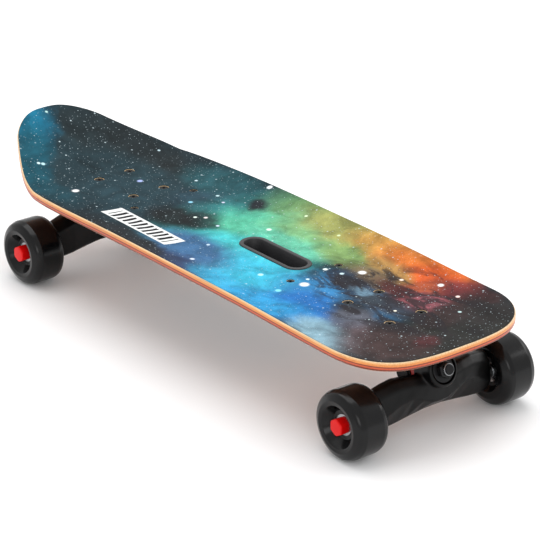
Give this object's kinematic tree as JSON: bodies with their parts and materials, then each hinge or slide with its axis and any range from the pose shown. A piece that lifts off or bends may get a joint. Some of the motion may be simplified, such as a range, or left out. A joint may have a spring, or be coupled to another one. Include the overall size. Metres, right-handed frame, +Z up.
{
  "type": "electric skateboard",
  "caption": "Short electric skateboard: concave maple deck with kicktail and handle slot, printed grip, steering trucks, soft wheels, a hub motor and an underslung battery case.",
  "frame": {"origin": "centre of the bounding box, on the floor under the wheels", "axes": "+X from the tail to the nose, +Y to the left, +Z up"},
  "size_m": [0.708, 0.2366, 0.149],
  "materials": {
    "maple_laminate": "satin",
    "printed_grip": "matte",
    "grey_abs": "matte",
    "riser_rubber": "matte",
    "black_cast": "satin",
    "black_steel": "satin",
    "zinc_steel": "satin",
    "red_urethane": "satin",
    "black_rubber": "matte",
    "white_nylon": "matte",
    "red_cap": "gloss",
    "black_urethane": "gloss",
    "bearing_steel": "polished",
    "spacer_aluminium": "satin",
    "black_anodised": "satin",
    "magnet_nickel": "polished",
    "stator_steel": "satin",
    "copper_wire": "gloss",
    "black_abs": "matte",
    "cell_wrap": "satin",
    "green_board": "satin",
    "blue_board": "satin",
    "lead_insulation": "satin"
  },
  "bodies": {
    "board": {"deck": "maple_laminate", "grip_sheet": "printed_grip", "handle_insert": "grey_abs", "front_riser": "riser_rubber", "rear_riser": "riser_rubber", "front_baseplate": "black_cast", "rear_baseplate": "black_cast", "truck_bolts": "black_steel", "truck_nuts": "zinc_steel", "kingpins": "zinc_steel", "kingpin_nuts": "zinc_steel", "cup_washers": "black_steel", "front_red_bushing": "red_urethane", "rear_red_bushing": "red_urethane", "front_road_bushing": "black_rubber", "rear_road_bushing": "black_rubber", "tray": "black_abs", "tray_gasket": "black_rubber", "tray_screws": "black_steel", "battery_cells": "cell_wrap", "cell_holders": "black_abs", "bms_board": "green_board", "esc_board": "blue_board", "esc_heatsink": "spacer_aluminium", "battery_leads": "lead_insulation", "power_switch": "black_abs", "button_bezel": "grey_abs", "charge_socket": "black_abs", "motor_gland": "black_abs"},
    "front_truck_hanger": {"front_hanger": "black_cast", "front_hanger_sleeve": "white_nylon", "front_axle": "zinc_steel", "front_speed_washers": "zinc_steel", "front_axle_nuts": "zinc_steel", "front_axle_caps": "red_cap"},
    "rear_truck_hanger": {"rear_hanger": "black_cast", "rear_hanger_sleeve": "white_nylon", "rear_axle": "zinc_steel", "rear_speed_washers": "zinc_steel", "rear_axle_nuts": "zinc_steel", "rear_axle_caps": "red_cap", "motor_shaft": "zinc_steel", "motor_stator": "stator_steel", "motor_windings": "copper_wire"},
    "front_right_roller": {"front_right_wheel": "black_urethane", "front_right_bearings": "bearing_steel", "front_right_spacer": "spacer_aluminium"},
    "front_left_roller": {"front_left_wheel": "black_urethane", "front_left_bearings": "bearing_steel", "front_left_spacer": "spacer_aluminium"},
    "rear_right_roller": {"rear_right_wheel": "black_urethane", "rear_right_bearings": "bearing_steel", "rear_right_spacer": "spacer_aluminium"},
    "motor_roller": {"motor_tyre": "black_urethane", "motor_can": "black_anodised", "motor_cover": "black_anodised", "motor_magnets": "magnet_nickel", "motor_bearings": "bearing_steel"},
    "power_button_body": {"power_button": "spacer_aluminium"},
    "charge_cap_body": {"charge_cap": "black_rubber"}
  },
  "joints": [
    {"name": "front_steer", "type": "hinge", "parent": "board", "child": "front_truck_hanger", "pos_m": [0.29, 0, 0.058], "axis": [0.9397, 0, 0.342], "range_deg": [-12, 12], "stiffness_Nm_per_rad": 25},
    {"name": "rear_steer", "type": "hinge", "parent": "board", "child": "rear_truck_hanger", "pos_m": [-0.224, 0, 0.058], "axis": [-0.9397, 0, 0.342], "range_deg": [-12, 12], "stiffness_Nm_per_rad": 25},
    {"name": "front_right_spin", "type": "hinge", "parent": "front_truck_hanger", "child": "front_right_roller", "pos_m": [0.304, -0.097, 0.036], "axis": [0, 1, 0], "continuous": true},
    {"name": "front_left_spin", "type": "hinge", "parent": "front_truck_hanger", "child": "front_left_roller", "pos_m": [0.304, 0.097, 0.036], "axis": [0, 1, 0], "continuous": true},
    {"name": "rear_right_spin", "type": "hinge", "parent": "rear_truck_hanger", "child": "rear_right_roller", "pos_m": [-0.238, -0.097, 0.036], "axis": [0, 1, 0], "continuous": true},
    {"name": "motor_spin", "type": "hinge", "parent": "rear_truck_hanger", "child": "motor_roller", "pos_m": [-0.238, 0.092, 0.036], "axis": [0, 1, 0], "continuous": true},
    {"name": "power_press", "type": "slide", "parent": "board", "child": "power_button_body", "axis": [0, 0, 1], "range_m": [0, 0.0015], "stiffness_N_per_m": 800, "springref_m": -0.001},
    {"name": "charge_cap_flip", "type": "hinge", "parent": "board", "child": "charge_cap_body", "pos_m": [0.1035, -0.027, 0.0655], "axis": [0, 1, 0], "range_deg": [0, 135]}
  ]
}
